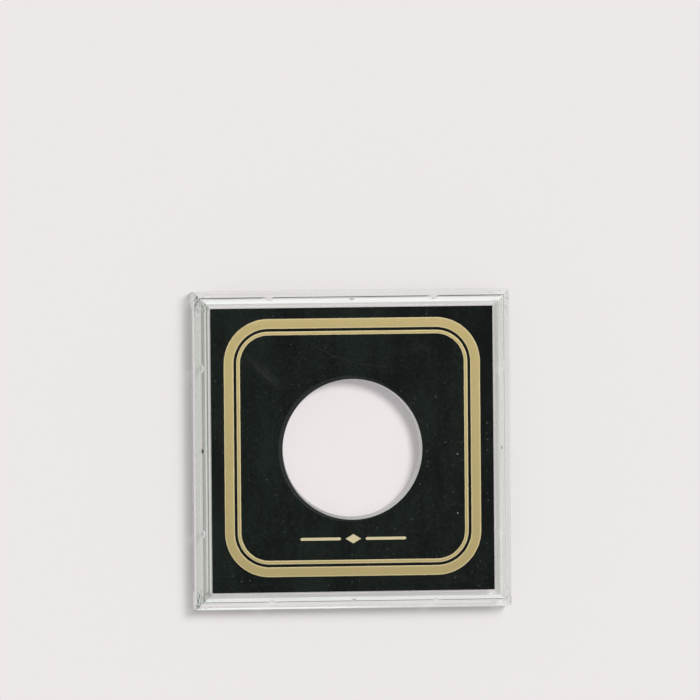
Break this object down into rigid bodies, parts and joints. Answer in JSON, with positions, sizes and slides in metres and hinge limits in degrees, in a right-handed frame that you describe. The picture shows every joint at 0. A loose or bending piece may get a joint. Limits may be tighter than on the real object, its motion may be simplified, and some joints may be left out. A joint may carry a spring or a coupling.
{
  "type": "coin holder",
  "caption": "Square clear coin holder: a tray and a plug-in cover over a loose black board with a round coin hole and a gold foil border.",
  "frame": {"origin": "middle of the tray's back face, on the surface that the closed holder lies on", "axes": "+Z out of the front face, +Y towards the top edge of the face, +X to the right seen from the front"},
  "size_m": [0.0888, 0.0888, 0.0087],
  "materials": {
    "clear_acrylic": "polished",
    "black_board": "satin",
    "gold_foil": "satin"
  },
  "bodies": {
    "tray": {"rear_tray": "clear_acrylic"},
    "insert": {"insert_board": "black_board", "border_foil_outer": "gold_foil", "border_foil_inner": "gold_foil", "label_rule_left": "gold_foil", "label_lozenge": "gold_foil", "label_rule_right": "gold_foil"},
    "cover": {"front_cover": "clear_acrylic"}
  },
  "joints": [
    {"name": "insert_lift", "type": "slide", "parent": "tray", "child": "insert", "axis": [0, 0, 1], "range_m": [0, 0.025]},
    {"name": "cover_lift", "type": "slide", "parent": "insert", "child": "cover", "axis": [0, 0, 1], "range_m": [0, 0.035]}
  ]
}
